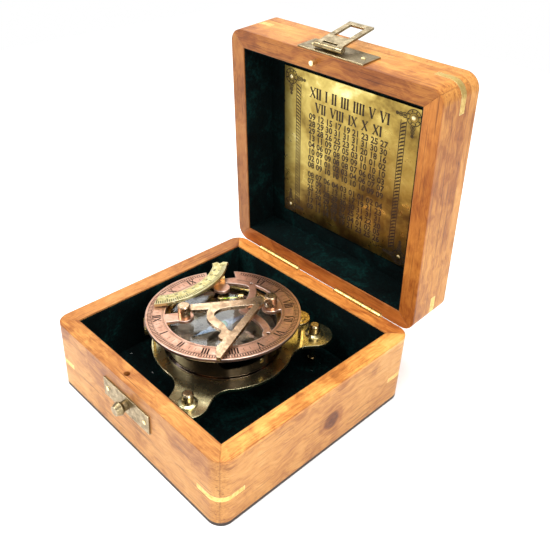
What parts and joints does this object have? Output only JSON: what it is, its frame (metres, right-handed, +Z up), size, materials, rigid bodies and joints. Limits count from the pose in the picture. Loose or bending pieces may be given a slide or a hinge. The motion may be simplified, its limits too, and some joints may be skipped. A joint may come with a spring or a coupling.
{
  "type": "sundial_compass",
  "caption": "Antique-brass sundial compass with a copper hour ring, folding gnomon and latitude arc, in a hinged hardwood case with green velvet and a brass hasp",
  "frame": {"origin": "centre of the case's underside, on the surface it stands on", "axes": "+Z up; X along the lid's hinges; +Y towards the hinged back"},
  "size_m": [0.14, 0.1774, 0.1938],
  "materials": {
    "case_wood": "oiled, orange-brown, fine wavy grain",
    "dark_wood": "dark stained board",
    "lid_wood": "oiled, orange-brown, fine wavy grain",
    "key_brass": "inlaid strip, sanded flush",
    "velvet": "short-pile dark green velvet",
    "hardware_brass": "dull antique brass",
    "nail_brass": "worn bright heads",
    "hinge_brass": "yellow brass",
    "plaque_brass": "etched antique brass sheet with dark recesses",
    "plate_brass": "polished olive-brown antique brass",
    "bowl_brass": "polished dark antique brass",
    "bright_brass": "polished antique brass",
    "screw_brass": "turned antique brass",
    "post_brass": "polished warm brass",
    "arc_brass": "polished yellow brass with engraved marks",
    "copper": "copper with engraved marks",
    "clear_glass": "clear flat glass",
    "vial_glass": "tinted vial",
    "card": "dark printed card",
    "blued_steel": "blued steel",
    "jewel": "glossy green cap"
  },
  "bodies": {
    "case": {"base_board": "dark_wood", "base_front_wall": "case_wood", "base_back_wall": "case_wood", "base_left_wall": "case_wood", "base_right_wall": "case_wood", "base_corner_keys": "key_brass", "base_floor_pad": "velvet", "base_side_linings": "velvet", "catch_plate": "hardware_brass", "catch_stud": "hardware_brass", "catch_nails": "nail_brass", "base_hinge_leaves": "hinge_brass", "base_hinge_nails": "nail_brass", "hinge_pins": "hinge_brass"},
    "lid": {"lid_front_wall": "lid_wood", "lid_back_wall": "lid_wood", "lid_left_wall": "lid_wood", "lid_right_wall": "lid_wood", "lid_top_panel": "lid_wood", "lid_corner_keys": "key_brass", "lid_top_lining": "velvet", "lid_side_linings": "velvet", "plaque": "plaque_brass", "plaque_pins": "nail_brass", "hasp_plate": "hardware_brass", "hasp_nails": "nail_brass", "hasp_pin": "hardware_brass", "locating_pin": "nail_brass", "lid_hinge_leaves": "hinge_brass", "lid_hinge_nails": "nail_brass"},
    "hasp_arm": {"hasp": "hardware_brass"},
    "compass": {"base_plate": "plate_brass", "ear_collars": "plate_brass", "bowl": "bowl_brass", "bowl_screws": "bright_brass", "bezel": "bright_brass", "crystal": "clear_glass", "compass_card": "card", "needle_pivot": "bright_brass", "level_tube": "bright_brass", "level_vial": "vial_glass", "ring_hinge_bracket": "bright_brass", "ring_hinge_pin": "bright_brass", "ring_rest": "bright_brass"},
    "magnet": {"needle": "blued_steel", "needle_cap": "jewel"},
    "screw_south": {"levelling_screw_south": "screw_brass"},
    "screw_west": {"levelling_screw_west": "screw_brass"},
    "screw_east": {"levelling_screw_east": "screw_brass"},
    "dial_ring": {"hour_ring": "copper", "north_post": "post_brass", "south_post": "post_brass", "arc_hinge_block": "bright_brass", "arc_hinge_pin": "bright_brass"},
    "style": {"gnomon": "post_brass"},
    "quadrant": {"latitude_arc": "arc_brass"}
  },
  "joints": [
    {"name": "lid_hinge", "type": "hinge", "parent": "case", "child": "lid", "pos_m": [0, 0.07, 0.0435], "axis": [-1, 0, 0], "range_deg": [-86, 0]},
    {"name": "hasp_hinge", "type": "hinge", "parent": "lid", "child": "hasp_arm", "pos_m": [-0.001, 0.06442, 0.18636], "axis": [1, 0, 0], "range_deg": [0, 171]},
    {"name": "compass_lift", "type": "slide", "parent": "case", "child": "compass", "axis": [0, 0, 1], "range_m": [0, 0.06]},
    {"name": "needle_swing", "type": "hinge", "parent": "compass", "child": "magnet", "pos_m": [-0.0093, 0.0019, 0.0374], "axis": [0, 0, 1], "continuous": true},
    {"name": "screw_south_lift", "type": "slide", "parent": "compass", "child": "screw_south", "axis": [0, 0, 1], "range_m": [0, 0.005]},
    {"name": "screw_west_lift", "type": "slide", "parent": "compass", "child": "screw_west", "axis": [0, 0, 1], "range_m": [0, 0.005]},
    {"name": "screw_east_lift", "type": "slide", "parent": "compass", "child": "screw_east", "axis": [0, 0, 1], "range_m": [0, 0.005]},
    {"name": "ring_hinge", "type": "hinge", "parent": "compass", "child": "dial_ring", "pos_m": [-0.03283, -0.03433, 0.04312], "axis": [0.8387, -0.5446, 0], "range_deg": [0, 60]},
    {"name": "gnomon_hinge", "type": "hinge", "parent": "dial_ring", "child": "style", "pos_m": [-0.00907, 0.00161, 0.05223], "axis": [-0.5432, -0.8392, -0.0261], "range_deg": [0, 94]},
    {"name": "quadrant_hinge", "type": "hinge", "parent": "dial_ring", "child": "quadrant", "pos_m": [-0.03679, 0.0197, 0.04767], "axis": [-0.5432, -0.8392, -0.0261], "range_deg": [0, 90]}
  ]
}
